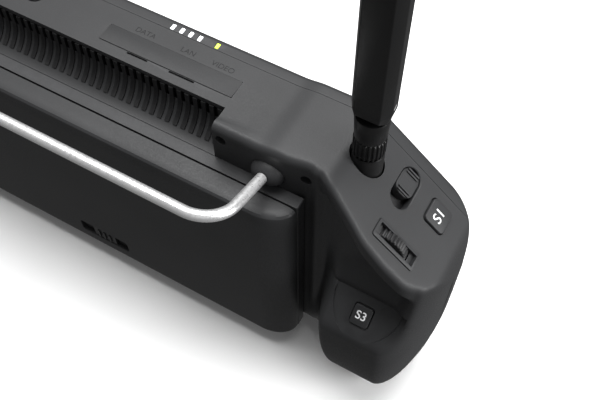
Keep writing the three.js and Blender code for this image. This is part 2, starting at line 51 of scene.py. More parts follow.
camera.rotation_euler = look.to_track_quat("-Z", "Y").to_euler()
bpy.context.scene.camera = camera
bpy.context.scene.view_settings.view_transform = "Standard"


def lamp(name, place, aim, width, height, power):
    """A rectangular soft lamp at a place, facing a point."""
    data = bpy.data.lights.new(name, "AREA")
    data.shape = "RECTANGLE"
    data.size = width
    data.size_y = height
    data.energy = power
    light = bpy.data.objects.new(name, data)
    bpy.context.scene.collection.objects.link(light)
    light.location = place
    light.rotation_euler = (Vector(aim) - Vector(place)).to_track_quat("-Z", "Y").to_euler()


lamp("overhead_lamp", (0.05, -0.25, 1.15), (0, 0, 0.10), 1.0, 0.8, 25)
lamp("side_strip", (-0.75, -0.05, 0.30), (-0.10, 0, 0.08), 0.25, 0.7, 6)
lamp("back_fill", (-0.5, 0.9, 0.7), (0, 0, 0.08), 0.6, 0.6, 0.3)

world = bpy.data.worlds.new("studio")
bpy.context.scene.world = world
world.use_nodes = True
world.node_tree.nodes["Background"].inputs["Color"].default_value = (1, 1, 1, 1)
world.node_tree.nodes["Background"].inputs["Strength"].default_value = 0.20


def plain_material(name, colour, roughness):
    """A principled material with one colour, before anything is added to it."""
    material = bpy.data.materials.new(name)
    material.use_nodes = True
    shader = material.node_tree.nodes["Principled BSDF"]
    shader.inputs["Base Color"].default_value = (*colour, 1)
    shader.inputs["Roughness"].default_value = roughness
    return material


floor_mesh = bpy.data.meshes.new("table")
floor_mesh.from_pydata([(-4, -4, -0.0005), (4, -4, -0.0005), (4, 4, -0.0005), (-4, 4, -0.0005)], [],
                       [(0, 1, 2, 3)])
floor_mesh.materials.append(plain_material("white_table", (1.0, 1.0, 1.0), 0.9))
table = bpy.data.objects.new("table", floor_mesh)
bpy.context.scene.collection.objects.link(table)
# The table is seen but lights nothing, so that the upright faces of the case stay dark.
table.visible_diffuse = False
table.visible_glossy = False


# ---------------------------------------------------------------- Rear shell
# The back half of the case: two grips with a palm swell, sloping shoulders and a cooling recess.
# It is one moulding of charcoal, fine-textured plastic, screwed to the front shell from behind.
# Its finish, like every other here, takes its grain and its rubbed edges from two shared groups.


def grain_group():
    """Moulded grain: fine pits and a slow mottling, as a height and a shade around 1."""
    group = bpy.data.node_groups.new("moulded_grain", "ShaderNodeTree")
    for name, way in (("Size", "INPUT"), ("Mottle", "INPUT"), ("Height", "OUTPUT"), ("Shade", "OUTPUT")):
        group.interface.new_socket(name=name, in_out=way, socket_type="NodeSocketFloat")
    nodes, links = group.nodes, group.links
    inside, outside = nodes.new("NodeGroupInput"), nodes.new("NodeGroupOutput")
    place = nodes.new("ShaderNodeTexCoord")
    density = nodes.new("ShaderNodeMath")
    density.operation = "DIVIDE"
    density.inputs[0].default_value = 1.0
    links.new(inside.outputs["Size"], density.inputs[1])
    pits = nodes.new("ShaderNodeTexNoise")
    pits.inputs["Detail"].default_value = 2.0
    links.new(place.outputs["Object"], pits.inputs["Vector"])
    links.new(density.outputs[0], pits.inputs["Scale"])
    links.new(pits.outputs["Fac"], outside.inputs["Height"])
    slow = nodes.new("ShaderNodeTexNoise")
    slow.inputs["Scale"].default_value = 38.0
    slow.inputs["Detail"].default_value = 5.0
    links.new(place.outputs["Object"], slow.inputs["Vector"])
    centred = nodes.new("ShaderNodeMath")
    centred.operation = "SUBTRACT"
    centred.inputs[1].default_value = 0.5
    links.new(slow.outputs["Fac"], centred.inputs[0])
    shade = nodes.new("ShaderNodeMath")
    shade.operation = "MULTIPLY_ADD"
    shade.inputs[2].default_value = 1.0
    links.new(centred.outputs[0], shade.inputs[0])
    links.new(inside.outputs["Mottle"], shade.inputs[1])
    links.new(shade.outputs[0], outside.inputs["Shade"])
    return group


def wear_group():
    """Edge wear: a mask that is 1 on rubbed convex edges and 0 elsewhere, broken up by noise."""
    group = bpy.data.node_groups.new("edge_wear", "ShaderNodeTree")
    for name, way in (("Start", "INPUT"), ("Amount", "INPUT"), ("Mask", "OUTPUT")):
        group.interface.new_socket(name=name, in_out=way, socket_type="NodeSocketFloat")
    nodes, links = group.nodes, group.links
    inside, outside = nodes.new("NodeGroupInput"), nodes.new("NodeGroupOutput")
    shape, place = nodes.new("ShaderNodeNewGeometry"), nodes.new("ShaderNodeTexCoord")
    rough = nodes.new("ShaderNodeTexNoise")
    rough.inputs["Scale"].default_value = 260.0
    rough.inputs["Detail"].default_value = 4.0
    links.new(place.outputs["Object"], rough.inputs["Vector"])
    edge = nodes.new("ShaderNodeMapRange")
    edge.inputs["From Max"].default_value = 0.66
    links.new(shape.outputs["Pointiness"], edge.inputs["Value"])
    links.new(inside.outputs["Start"], edge.inputs["From Min"])
    broken = nodes.new("ShaderNodeMath")
    broken.operation = "MULTIPLY"
    links.new(edge.outputs["Result"], broken.inputs[0])
    links.new(rough.outputs["Fac"], broken.inputs[1])
    strength = nodes.new("ShaderNodeMath")
    strength.operation = "MULTIPLY"
    strength.use_clamp = True
    links.new(broken.outputs[0], strength.inputs[0])
    links.new(inside.outputs["Amount"], strength.inputs[1])
    links.new(strength.outputs[0], outside.inputs["Mask"])
    return group


GRAIN = grain_group()
WEAR = wear_group()


def finish_of(name, colour, worn, roughness, metal=0.0, grain=0.00045, bump=0.12, mottle=0.5, wear=0.5,
              glow=0.0):
    """A surface finish: grain in its colour, roughness and bump, and lighter rubbed edges."""
    material = plain_material(name, colour, roughness)
    nodes, links = material.node_tree.nodes, material.node_tree.links
    shader = nodes["Principled BSDF"]
    shader.inputs["Metallic"].default_value = metal
    shader.inputs["Specular IOR Level"].default_value = 0.28
    shader.inputs["Emission Color"].default_value = (*colour, 1)
    shader.inputs["Emission Strength"].default_value = glow
    texture, edges = nodes.new("ShaderNodeGroup"), nodes.new("ShaderNodeGroup")
    texture.node_tree, edges.node_tree = GRAIN, WEAR
    texture.inputs["Size"].default_value = grain
    texture.inputs["Mottle"].default_value = mottle
    edges.inputs["Start"].default_value = 0.53
    edges.inputs["Amount"].default_value = wear
    tint = nodes.new("ShaderNodeVectorMath")
    tint.operation = "SCALE"
    tint.inputs[0].default_value = colour
    links.new(texture.outputs["Shade"], tint.inputs["Scale"])
    mix = nodes.new("ShaderNodeMix")
    mix.data_type = "RGBA"
    mix.inputs["B"].default_value = (*worn, 1)
    links.new(edges.outputs["Mask"], mix.inputs["Factor"])
    links.new(tint.outputs["Vector"], mix.inputs["A"])
    links.new(mix.outputs["Result"], shader.inputs["Base Color"])
    gloss = nodes.new("ShaderNodeMapRange")
    gloss.inputs["From Min"].default_value = 0.3
    gloss.inputs["From Max"].default_value = 0.7
    gloss.inputs["To Min"].default_value = max(0.02, roughness - 0.08)
    gloss.inputs["To Max"].default_value = roughness + 0.08
    links.new(texture.outputs["Height"], gloss.inputs["Value"])
    links.new(gloss.outputs["Result"], shader.inputs["Roughness"])
    relief = nodes.new("ShaderNodeBump")
    relief.inputs["Strength"].default_value = bump
    relief.inputs["Distance"].default_value = 0.0002
    links.new(texture.outputs["Height"], relief.inputs["Height"])
    links.new(relief.outputs["Normal"], shader.inputs["Normal"])
    return material


CHARCOAL = finish_of("charcoal_plastic", (0.026, 0.0264, 0.0276), (0.07, 0.07, 0.074), 0.50)

MM = 0.001
HALF_WIDTH = 151.5
TOP = 130.0
SLOPE = math.radians(39.2)
SCREEN_Y = -25.0
BACK_Y = 10.3
PARTING_Y = -19.0
WALL = 2.5
RECESS_X = 60.1
BAND_Y = -10.7
LEDGE_Z = 77.0
LEDGE = math.atan2(12, 14)
BODY_MIDDLE_Y = -8.0
RIM = [(95, 7.6), (100, 9), (104, 11.2), (107, 12.8), (111.5, 14.5), (116.3, 16.4), (121.3, 18.8),
       (130, 20.2)]


def step(low, high, x):
    """0 at low, 1 at high, a smooth cubic between them, and constant outside."""
    t = np.clip((x - low) / (high - low), 0, 1)
    return t * t * (3 - 2 * t)


def soft_min(a, b, width):
    """The smaller of a and b, with the corner between them rounded over a width."""
    h = np.clip(0.5 + 0.5 * (b - a) / width, 0, 1)
    return b + (a - b) * h - width * h * (1 - h)


def top_line(a):
    """Height of the case's upper outline at a distance from the middle.

    Flat, up one step to the shoulder, down a straight slope, then a quarter ellipse to the side."""
    crown = TOP + step(77, 86, a)
    slope = TOP + 1 - (a - 106) * math.tan(SLOPE)
    turn = np.clip((a - 147) / (HALF_WIDTH - 147), 0, 1)
    return soft_min(crown, slope, 3) - 14 * (1 - np.sqrt(1 - turn ** 2))


def bottom_line(a):
    """Height of the lower outline: the flat belly of the case, then the rounded end of a grip."""
    turn = np.clip((a - 137) / (HALF_WIDTH - 137), 0, 1)
    return 11 * (1 - step(96, 114, a)) + 46 * (1 - np.sqrt(1 - turn ** 2))


def smooth_table(table, x):
    """A smooth curve through a few points: straight pieces joined, averaged over a short length."""
    knots = np.array(table, float)
    return sum(np.interp(x + shift, knots[:, 0], knots[:, 1]) for shift in (-2, -1, 0, 1, 2)) / 5


def rear_depth(a, z, top):
    """Depth of the rear face at a distance from the middle and a height.

    Finger groove, ledge and palm swell grow with the distance from the middle; the shoulder's rim
    follows the top line and ends in a smooth undercut."""
    base = BACK_Y - 1.3 * step(88, 99, a) + 0.9 * np.exp(-((a - 100.5) / 2.2) ** 2)
    palm = smooth_table([(0, 30), (52, 30.3), (64, 29.6), (75.5, 17)], z)
    flank = smooth_table([(0, 30), (52, 30.3), (70, 27.5), (85, 23.5), (100, 21.2)], z)
    groove = 11.6 + 3.9 * step(90, LEDGE_Z, z)
    body = np.where(z < LEDGE_Z - 1.5, palm, groove)
    body = body + (flank - body) * step(136, 146, a)
    low, wide = 104.5 - 6 * step(70, 15, z), 9.5 + 11 * step(70, 15, z)
    swell = step(low, low + wide, a) * (1 - step(80, 104, z)) + step(105, 122, a) * step(80, 104, z)
    depth = base + swell * (body - 9)
    rim = smooth_table(RIM, a)
    return depth + np.maximum(0, rim - depth) * (1 - step(6.5, 13, top - z))


def case_sections(stations, inset):
    """Closed loops of the case, one for each station along X.

    A loop runs down the rear face, along the bottom, up the front and back over the top. Corners are
    quarter circles, and the lower ends of the grips quarter ellipses. An inset moves it all inwards."""
    a = np.abs(stations)[:, None]
    reach = np.minimum(HALF_WIDTH, a + inset)
    grip = step(97, 112, a)
    side = np.sqrt(1 - np.clip((reach - 137) / 14.5, 0, 0.985) ** 2)
    top = top_line(reach) - inset
    bottom = bottom_line(reach) + inset
    ledge = np.minimum(LEDGE_Z, top - 0.35 * (top - bottom))
    turn = np.linspace(0, math.pi / 2, 9)[None, :]
    radius = np.minimum(2.8, 0.45 * (top - ledge))
    belly_z = np.minimum(4 + 43 * grip, 0.9 * (ledge - bottom))
    belly_y = 4 + 22 * grip
    down = np.linspace(0, 1, 37)[None, 1:]
    z = np.hstack([top - radius * (1 - np.cos(turn)),
                   top - radius - (top - radius - ledge) * down,
                   ledge - (ledge - bottom - belly_z) * np.linspace(0, 1, 25)[None, 1:],
                   bottom + belly_z * (1 - np.cos(np.linspace(math.pi / 2, 0, 25)[None, 1:]))])
    fillet = radius * (1 - np.sqrt(1 - (1 - np.clip((top - z) / radius, 0, 1)) ** 2))
    belly = belly_y * (1 - np.sqrt(1 - (1 - np.clip((z - bottom) / belly_z, 0, 1)) ** 2))
    y = rear_depth(a, z, top) - inset - fillet - belly
    face = SCREEN_Y + (4 if inset else 0)
    front_z = np.minimum(3 + 37 * grip, 0.8 * (ledge - bottom))
    front_y = 3 + 12 * grip
    across = np.linspace(0, 1, 7)[None, 1:-1]
    start = y[:, -1:]
    z = np.hstack([z, bottom + 0 * across * start])
    y = np.hstack([y, start + (face + front_y - start) * across])
    z = np.hstack([z, bottom + front_z * (1 - np.cos(np.linspace(0, math.pi / 2, 17)[None, :]))])
    y = np.hstack([y, face + front_y * (1 - np.sin(np.linspace(0, math.pi / 2, 17)[None, :])) + 0 * start])
    up = np.linspace(0, 1, 9)[None, 1:-1]
    z = np.hstack([z, bottom + front_z + (top - 2.7 - bottom - front_z) * up])
    y = np.hstack([y, face + 0 * up * start])
    z = np.hstack([z, top - 2.7 * (1 - np.sin(turn))])
    y = np.hstack([y, face + 2.7 * (1 - np.cos(turn)) + 0 * start])
    over = np.linspace(0, 1, 15)[None, 1:-1]
    last = y[:, -1:]
    band = last + (y[:, :1] - last) * over
    z = np.hstack([z, top - 0.05 * np.maximum(0, band - BAND_Y) * (1 - step(62, 80, a))])
    y = np.hstack([y, band])
    return BODY_MIDDLE_Y + (y - BODY_MIDDLE_Y) * side, z


def loop_surface(name, rings, closed=True):
    """A mesh from rings of points, shape (rings, points, 3) in millimetres, in metres when made.

    Neighbouring rings are joined by quads; with closed, the first and last ring get an end face."""
    count, size = rings.shape[:2]
    i, j = np.meshgrid(np.arange(count - 1), np.arange(size), indexing="ij")
    k = (j + 1) % size
    quads = np.stack([i * size + j, i * size + k, (i + 1) * size + k, (i + 1) * size + j], -1).reshape(-1, 4)
    faces = [tuple(quad) for quad in quads.tolist()]
    if closed:
        faces.append(tuple(range(size - 1, -1, -1)))
        faces.append(tuple(range((count - 1) * size, count * size)))
    mesh = bpy.data.meshes.new(name)
    mesh.from_pydata((rings.reshape(-1, 3) * MM).tolist(), [], faces)
    mesh.validate()
    work = bmesh.new()
    work.from_mesh(mesh)
    bmesh.ops.remove_doubles(work, verts=work.verts, dist=1e-7)
    bmesh.ops.recalc_face_normals(work, faces=work.faces)
    work.to_mesh(mesh)
    work.free()
    piece = bpy.data.objects.new(name, mesh)
    bpy.context.scene.collection.objects.link(piece)
    return piece


def case_solid(name, inset, fineness):
    """The whole case as one closed solid, with its stations closer together over the grips."""
    flat = np.linspace(0, 70, 4)
    shoulder = np.linspace(70, 97, 3 + int(24 * fineness))[1:]
    grip = np.linspace(97, 134, 3 + int(50 * fineness))[1:]
    width = HALF_WIDTH - inset - 134
    end = 134 + width * np.sin(np.linspace(0, math.pi / 2, 3 + int(22 * fineness)))[1:]
    half = np.concatenate([flat, shoulder, grip, end])
    stations = np.concatenate([-half[:0:-1], half])
    y, z = case_sections(stations, inset)
    x = np.broadcast_to(stations[:, None], y.shape)
    return loop_surface(name, np.stack([x, y, z], -1))


def prism(name, outline, low, high, place=(0, 0, 0), axes=None, flare=0.0):
    """A closed prism on a flat outline, from low to high along its own Z, in millimetres.

    With flare, its upper part opens out by that much over the same height, as a chamfering tool does.
    Axes are the directions of its own X, Y and Z at the place."""
    points = np.array(outline, float)
    levels = [(low, 0.0), (high, 0.0)]
    if flare:
        levels = [(low, 0.0), (-flare, 0.0), (high, high + flare)]
    ahead = np.roll(points, -1, 0) - points
    behind = points - np.roll(points, 1, 0)
    normal = np.stack([ahead[:, 1] + behind[:, 1], -ahead[:, 0] - behind[:, 0]], -1)
    normal /= np.maximum(np.linalg.norm(normal, axis=1, keepdims=True), 1e-9)
    basis = np.array(axes if axes is not None else np.eye(3), float)
    rings = []
    for height, grow in levels:
        local = np.hstack([points + normal * grow, np.full((len(points), 1), height)])
        rings.append(local @ basis + np.array(place, float))
    return loop_surface(name, np.stack(rings))


def rounded(length, width, radius, arc=6):
    """Outline of a rounded rectangle, counter-clockwise, centred on the origin."""
    points = []
    for corner, (sx, sy) in enumerate([(1, 1), (-1, 1), (-1, -1), (1, -1)]):
        turn = np.linspace(corner * math.pi / 2, (corner + 1) * math.pi / 2, arc)
        points.append(np.stack([sx * (length / 2 - radius) + radius * np.cos(turn),
                                sy * (width / 2 - radius) + radius * np.sin(turn)], -1))
    return np.concatenate(points)


def carved(piece, cutters):
    """Cuts every tool out of a solid, applies the result, and drops the tools."""
    for tool in cutters:
        cut = piece.modifiers.new("cut", "BOOLEAN")
        cut.operation = "DIFFERENCE"
        cut.solver = "MANIFOLD"
        cut.object = tool
    result = bpy.data.meshes.new_from_object(piece.evaluated_get(bpy.context.evaluated_depsgraph_get()))
    piece.modifiers.clear()
    result.materials.clear()
    piece.data = result
    for tool in cutters:
        bpy.data.objects.remove(tool)
    return piece


def smooth_by_angle(piece, degrees=32):
    """Smooth shading with edges kept where faces meet at more than an angle."""
    mesh = piece.data
    mesh.shade_smooth()
    mesh.set_sharp_from_angle(angle=math.radians(degrees))


SIDES = (-1, 1)


def shoulder_axes(side):
    """Along the slope, along Y, and out of the shoulder, for the left (-1) or the right (1) side."""
    along = (math.cos(SLOPE), 0, -side * math.sin(SLOPE))
    out = (side * math.sin(SLOPE), 0, math.cos(SLOPE))
    return np.array([along, (0, 1, 0), out])


LEDGE_AXES = np.array([(1, 0, 0), (0, math.cos(LEDGE), -math.sin(LEDGE)),
                       (0, math.sin(LEDGE), math.cos(LEDGE))])
BACK_AXES = np.array([(-1, 0, 0), (0, 0, 1), (0, 1, 0)])
SIDE_AXES = np.array([(0, 1, 0), (0, 0, 1), (1, 0, 0)])


def mirrored_place(side, place):
    """A place given for the right side, on either side."""
    return (side * place[0], place[1], place[2])


DIAL = (131.0, 10.1, 110.6)
DIAL_DEPTH = 7.6
SLIDER = (125.1, -8.7, 115.4)
SHOULDER_KEY = (137.9, -10.0, 105.0)
REAR_KEY = (127.0, 22.2, 71.2)
BAIL_PIVOT = (82.0, 9.5, 118.5)
MAST = (111.0, -6.0)
SCREWS = [(-63.5, 124), (-96.3, 122.5), (63.5, 124), (96.3, 122.5)]
PORT_WELL = (-58.4, -5.2, -10.3, -4.1)
FLAP_PLACE = (-31.75, -7.25, 0)
FLAP_SIZE = (55.96, 7.66)
FLAP_GAP = 0.1
POWER_KEY = (30, -10, 0)


def disc(radius, count=32):
    """Outline of a circle."""
    turn = np.linspace(0, 2 * math.pi, count + 1)[:-1]
    return np.stack([radius * np.cos(turn), radius * np.sin(turn)], -1)


def lathe(name, profile, place=(0, 0, 0), axes=None, around=48):
    """A solid of revolution: radii and heights about its own Z, moved to a place and turned."""
    basis = np.array(axes if axes is not None else np.eye(3), float)
    turn = np.linspace(0, 2 * math.pi, around + 1)[:-1]
    rings = []
    for radius, height in profile:
        local = np.stack([radius * np.cos(turn), radius * np.sin(turn), np.full(around, float(height))], -1)
        rings.append(local @ basis + np.array(place, float))
    return loop_surface(name, np.stack(rings))


def barrel_profile(room):
    """Radii and heights of a bail barrel: a long ellipse, grown all round by some room."""
    turn = np.linspace(-math.pi / 2, math.pi / 2, 25)[1:-1]
    return np.stack([(5.0 + room) * np.cos(turn) ** 0.8, (6.4 + room) * np.sin(turn)], -1)


def recess_outline():
    """Section of the cooling recess: under the overhang, down the fins, then a cove to the bay's top."""
    turn = np.linspace(0, math.pi / 2, 13)[1:]
    cove = np.stack([12.4 - 11.4 * np.cos(turn), 123.7 - 11.4 * np.sin(turn)], -1)
    return np.array([(1.2, 140), (1.0, TOP - 2.5), (-1.5, TOP - 2.5), (-1.5, 119.7), (1.0, 119.5),
                     *cove, (40, 112.3), (40, 140)])[::-1]


def ledge_tool(side):
    """The half-moon of the rear key's ledge: a half ellipse with its straight edge up, walls flaring."""
    turn = np.linspace(0, math.pi, 41)
    across, down = np.cos(turn), np.sin(turn)
    place = np.array(mirrored_place(side, REAR_KEY))
    rings = []
    for height, grow in [(-0.9, 0.0), (0.2, 0.3), (1.5, 2.2), (30, 2.4)]:
        wider = grow * (0.25 + 0.75 * np.clip(side * across, 0, 1))
        local = np.stack([side * 0.5 + (13.6 + wider) * across, -8.2 + (18.6 + 0.4 * grow) * down,
                          np.full(41, height)], -1)
        rings.append(local @ LEDGE_AXES + place)
    return loop_surface("ledge_tool", np.stack(rings))


def side_cutters(side):
    """The tools that cut one side's pockets, holes and slots."""
    slope = shoulder_axes(side)
    dial, slider = mirrored_place(side, DIAL), mirrored_place(side, SLIDER)
    key, rear = mirrored_place(side, SHOULDER_KEY), mirrored_place(side, REAR_KEY)
    pivot = mirrored_place(side, BAIL_PIVOT)
    wheel = np.array(dial) - DIAL_DEPTH * slope[2]
    mast = (side * MAST[0], MAST[1], 0)
    cone = np.array([(6.1, 114.0), (6.1, 129.0), (6.5, 131.5), (8, 142.0)])
    rings = np.stack([np.hstack([disc(r, 40), np.full((40, 1), z)]) + np.array(mast) for r, z in cone])
    return [
        prism("dial_tool", rounded(20.6, 7.4, 1.2), -1.3, 6, dial, slope),
        prism("dial_slot", disc(9.5, 48), 7.4, 11.1, (wheel[0], 0, wheel[2]), BACK_AXES),
        prism("slider_tool", rounded(9.1, 16.6, 4.54, 12), -4.4, 4, slider, slope, 0.25),
        prism("key_tool", rounded(10.3, 10.2, 1.8), -8, 5, key, slope, 0.2),
        prism("rear_key_tool", rounded(8.0, 8.7, 1.4), -8, 0.5, rear, LEDGE_AXES),
        ledge_tool(side),
        lathe("pivot_tool", barrel_profile(0.15), pivot, SIDE_AXES),
        loop_surface("mast_tool", rings),
    ]


def rear_shell():
    """The back half of the case: hull, less the hollow inside and every pocket."""
    shell = case_solid("rear_shell_skin", 0, 1.0)
    well = PORT_WELL
    hollow = carved(case_solid("hollow", WALL, 0.3), [
        prism("step_tool", rounded(2 * RECESS_X + 4, 60, 1, 2), -3.2, 60, (0, 0, 128), BACK_AXES)])
    tools = [
        hollow,
        prism("front_half", rounded(400, 400, 1, 2), -60, PARTING_Y, (0, 0, 0),
              np.array([(1, 0, 0), (0, 0, -1), (0, 1, 0)])),
        prism("recess_tool", recess_outline(), -RECESS_X, RECESS_X, (0, 0, 0), SIDE_AXES),
        prism("pack_well", rounded(156.6, 66.6, 0.5, 2), -6, 30, (0, 0, 58), BACK_AXES),
        prism("flap_tool", rounded(FLAP_SIZE[0] + FLAP_GAP, FLAP_SIZE[1] + FLAP_GAP, 0.12, 3), 128.3, 140,
              FLAP_PLACE),
        prism("nail_slot", rounded(8.8, 0.8, 0.39, 4), 128.8, 140, (-20.8, -2.8, 0)),
        prism("nail_slot", rounded(10.6, 0.8, 0.39, 4), 128.8, 140, (-39.6, -2.8, 0)),
        prism("port_tool", rounded(well[1] - well[0], well[3] - well[2], 0.6, 3), 116, 140,
              ((well[0] + well[1]) / 2, (well[2] + well[3]) / 2, 0)),
        prism("power_tool", disc(4.3), 118, 140, POWER_KEY),
    ]
    for x, z in SCREWS:
        tools.append(prism("screw_tool", disc(2.1, 24), 3, 20, (x, 0, z), BACK_AXES))
    for side in SIDES:
        tools.extend(side_cutters(side))
    return carved(shell, tools)


def placed(piece, body, finish, nodes=(), degrees=32):
    """Gives a piece smooth shading, its finish and its body, and hides the nodes it stands for."""
    smooth_by_angle(piece, degrees)
    piece.data.materials.clear()
    piece.data.materials.append(finish)
    if nodes:
        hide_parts(*nodes)
    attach(piece, body)
    return piece


placed(rear_shell(), "case", CHARCOAL, ["rear_shell"])


# ---------------------------------------------------------------- Front shell
# The shallow front half carries the glass, the stick gimbals and four keys. It is the same plastic
# and meets the rear shell in a fine parting line.
FRONT_AXES = np.array([(1, 0, 0), (0, 0, 1), (0, -1, 0)])
STICK = (118.0, -14.0, 84.0)
FRONT_KEYS = [(-126, 50), (-108, 50), (108, 50), (126, 50)]
LIGHTS = [24.2, 28.1, 31.9, 35.8, 43.2]


def front_shell():
    """The front half of the case: hull, less the hollow, the glass seat and every opening."""
    tools = [
        case_solid("hollow", WALL, 0.3),
        prism("back_half", rounded(400, 400, 1, 2), PARTING_Y - 0.15, 60, (0, 0, 0), BACK_AXES),
        prism("glass_tool", rounded(184.6, 98.6, 4.0, 8), -2, 3, (0, SCREEN_Y, 71), FRONT_AXES),
        prism("display_tool", rounded(168, 86, 1, 2), -15, 5, (0, SCREEN_Y, 71), FRONT_AXES),
    ]
    for x in LIGHTS:
        tools.append(prism("light_tool", rounded(1.7, 2.8, 0.2, 2), 124, 140, (-x, -20.9, 0)))
    for x, z in FRONT_KEYS:
        tools.append(prism("key_tool", disc(4.8, 40), -10, 3, (x, SCREEN_Y, z), FRONT_AXES))
    for side in SIDES:
        place = (side * STICK[0], SCREEN_Y, STICK[2])
        tools.append(prism("gimbal_tool", disc(14.6, 56), -10, 3, place, FRONT_AXES))
        tools.append(prism("flange_tool", disc(16.6, 56), -1.5, 3, place, FRONT_AXES))
    return carved(case_solid("front_shell_skin", 0, 1.0), tools)


placed(front_shell(), "case", CHARCOAL, ["front_shell"])


# ---------------------------------------------------------------- Battery pack
# A wide sealed block of cells in the same charcoal plastic. Its box slides into the bay; outside, the
# cover has broad rounded corners and a soft crease along its upper edge.
SEAM_Y = 15.0
PACK_Y = 24.3
PACK_HALF = 96.2


def cover_outline(inset):
    """Plan of the cover: flat on the bay, and a broad curve from each side to the rear face."""
    t = np.linspace(0, 1, 25)[:, None]
    half, rear, front = PACK_HALF - inset, PACK_Y - inset, SEAM_Y + 0.3
    knots = np.array([(half, front), (half, front + 0.6 * (rear - front)),
                      (half - 6.5, rear), (half - 13, rear)])
    curve = ((1 - t) ** 3 * knots[0] + 3 * t * (1 - t) ** 2 * knots[1] + 3 * t ** 2 * (1 - t) * knots[2]
             + t ** 3 * knots[3])
    return np.concatenate([curve, curve[::-1] * (-1, 1)])


def block(name, x, y, z, bevel=0.0):
    """A box between pairs of limits along X, Y and Z, with rounded edges when a bevel is given."""
    outline = [(x[1], y[0]), (x[1], y[1]), (x[0], y[1]), (x[0], y[0])]
    piece = prism(name, outline, z[0], z[1])
    if bevel:
        soften(piece, bevel)
    return piece


def soften(piece, width, segments=3, degrees=40):
    """Rounds a piece's edges over a width in millimetres, and applies the result."""
    edge = piece.modifiers.new("edge", "BEVEL")
    edge.width = width * MM
    edge.segments = segments
    edge.limit_method = "ANGLE"
    edge.angle_limit = math.radians(degrees)
    edge.use_clamp_overlap = True
    result = bpy.data.meshes.new_from_object(piece.evaluated_get(bpy.context.evaluated_depsgraph_get()))
    piece.modifiers.clear()
    piece.data = result
    return piece


def joined(piece, others):
    """Joins closed solids into one and drops the others."""
    for other in others:
        union = piece.modifiers.new("join", "BOOLEAN")
        union.operation = "UNION"
        union.solver = "MANIFOLD"
        union.object = other
    result = bpy.data.meshes.new_from_object(piece.evaluated_get(bpy.context.evaluated_depsgraph_get()))
    piece.modifiers.clear()
    piece.data = result
    for other in others:
        bpy.data.objects.remove(other)
    return piece


def battery_pack():
    """The cover as a stack of plans, the box behind it, the hollow for the cells and the latch well."""
    profile = [(11.3, 1.6), (11.9, 0.6), (13.0, 0.1), (14.5, 0.0), (104.5, 0.0), (107.6, 0.12),
               (108.6, 0.36), (109.4, 0.42), (110.2, 0.75), (110.9, 1.5), (111.3, 2.8), (111.4, 4.2)]
    rings = [np.hstack([cover_outline(inset), np.full((50, 1), height)]) for height, inset in profile]
    cover = loop_surface("battery_pack_shell", np.stack(rings))
    cover = joined(cover, [block("core", (-76, 76), (-3.4, 17), (27, 89))])
    latch_well = prism("latch_tool", rounded(26, 8, 1.5, 5), -2, 4, (0, PACK_Y, 23), BACK_AXES, 0.2)
    return carved(cover, [block("cells_tool", (-74.5, 74.5), (-20, 19.5), (28.5, 87.5)), latch_well])


placed(battery_pack(), "battery_pack", CHARCOAL, ["battery_pack"], 24)


# ---------------------------------------------------------------- Battery bay
# The bay is screwed to the back of the case, flush under the cove, with a tub for the pack's box.
# A seam divides it from the cover.
def battery_bay():
    """The plate on the cover's own plan, the tub behind it, and the opening through both."""
    front = BACK_Y + 0.02
    rings = []
    for height, inset in [(11.3, 1.0), (12.4, 0.0), (111.9, 0.0), (112.25, 0.3)]:
        half = PACK_HALF - inset
        plan = np.array([(half, front), (half, SEAM_Y - 0.35), (half - 0.4, SEAM_Y), (-half + 0.4, SEAM_Y),
                         (-half, SEAM_Y - 0.35), (-half, front)])
        rings.append(np.hstack([plan, np.full((6, 1), height)]))
    plate = loop_surface("battery_bay_frame", np.stack(rings))
    plate = joined(plate, [block("tub", (-78, 78), (-5.5, BACK_Y + 1), (25, 91))])
    return carved(plate, [block("opening", (-76.4, 76.4), (-4, 30), (26.6, 89.4))])


placed(battery_bay(), "case", CHARCOAL, ["battery_bay"], 24)


# ---------------------------------------------------------------- Heat sink
# A black anodised comb of thin upright fins lines the recess above the battery. Its fins stand a
# little proud of the cove and run down it until they meet the bay.
ALLOY = finish_of("black_alloy", (0.014, 0.014, 0.015), (0.09, 0.09, 0.09), 0.5, 0.6)
FIN = [(-1.3, 127.2), (1.4, 127.2), (1.5, 122.2), (1.9, 120.5), (2.5, 119.0), (3.3, 117.6), (4.9, 115.8),
       (7.0, 114.2), (6.2, 113.9), (3.6, 115.6), (1.4, 118.2), (0.5, 119.6), (-1.3, 120.0)]
FIN_PITCH = 3.4


def heat_sink():
    """A thin back plate with fins across it."""
    plate = block("heat_sink_comb", (-58.8, 58.8), (-1.45, 0.0), (119.9, 127.3))
    places = np.arange(-17, 18) * FIN_PITCH
    return joined(plate, [prism("fin", FIN[::-1], x - 0.9, x + 0.9, (0, 0, 0), SIDE_AXES) for x in places])


placed(heat_sink(), "case", ALLOY, ["heat_sink"])


# ---------------------------------------------------------------- Bail
# A carrying bail bent from polished steel wire. Its ends are pressed into two short barrels, moulded
# with rounded ends, that turn in pockets in the shoulders.
BAIL_BAR = (42.0, 129.3)
BAIL_ROD = 2.05
POLISHED = finish_of("polished_steel", (0.86, 0.86, 0.865), (0.95, 0.95, 0.95), 0.34, 0.8, 0.0009, 0.02, 0.1,
                     0.2)


def tube(name, path, radius, around=32):
    """A round bar along a path of points in millimetres, with flat ends."""
    points = np.array(path, float)
    along = np.gradient(points, axis=0)
    along /= np.linalg.norm(along, axis=1, keepdims=True)
    plane = np.cross(points[-1] - points[0], points[len(points) // 3] - points[0])
    plane /= np.linalg.norm(plane)
    across = np.cross(along, plane)
    turn = np.linspace(0, 2 * math.pi, around + 1)[:-1]
    rings = (points[:, None] + radius * (np.cos(turn)[None, :, None] * across[:, None]
             + np.sin(turn)[None, :, None] * plane))
    return loop_surface(name, rings)


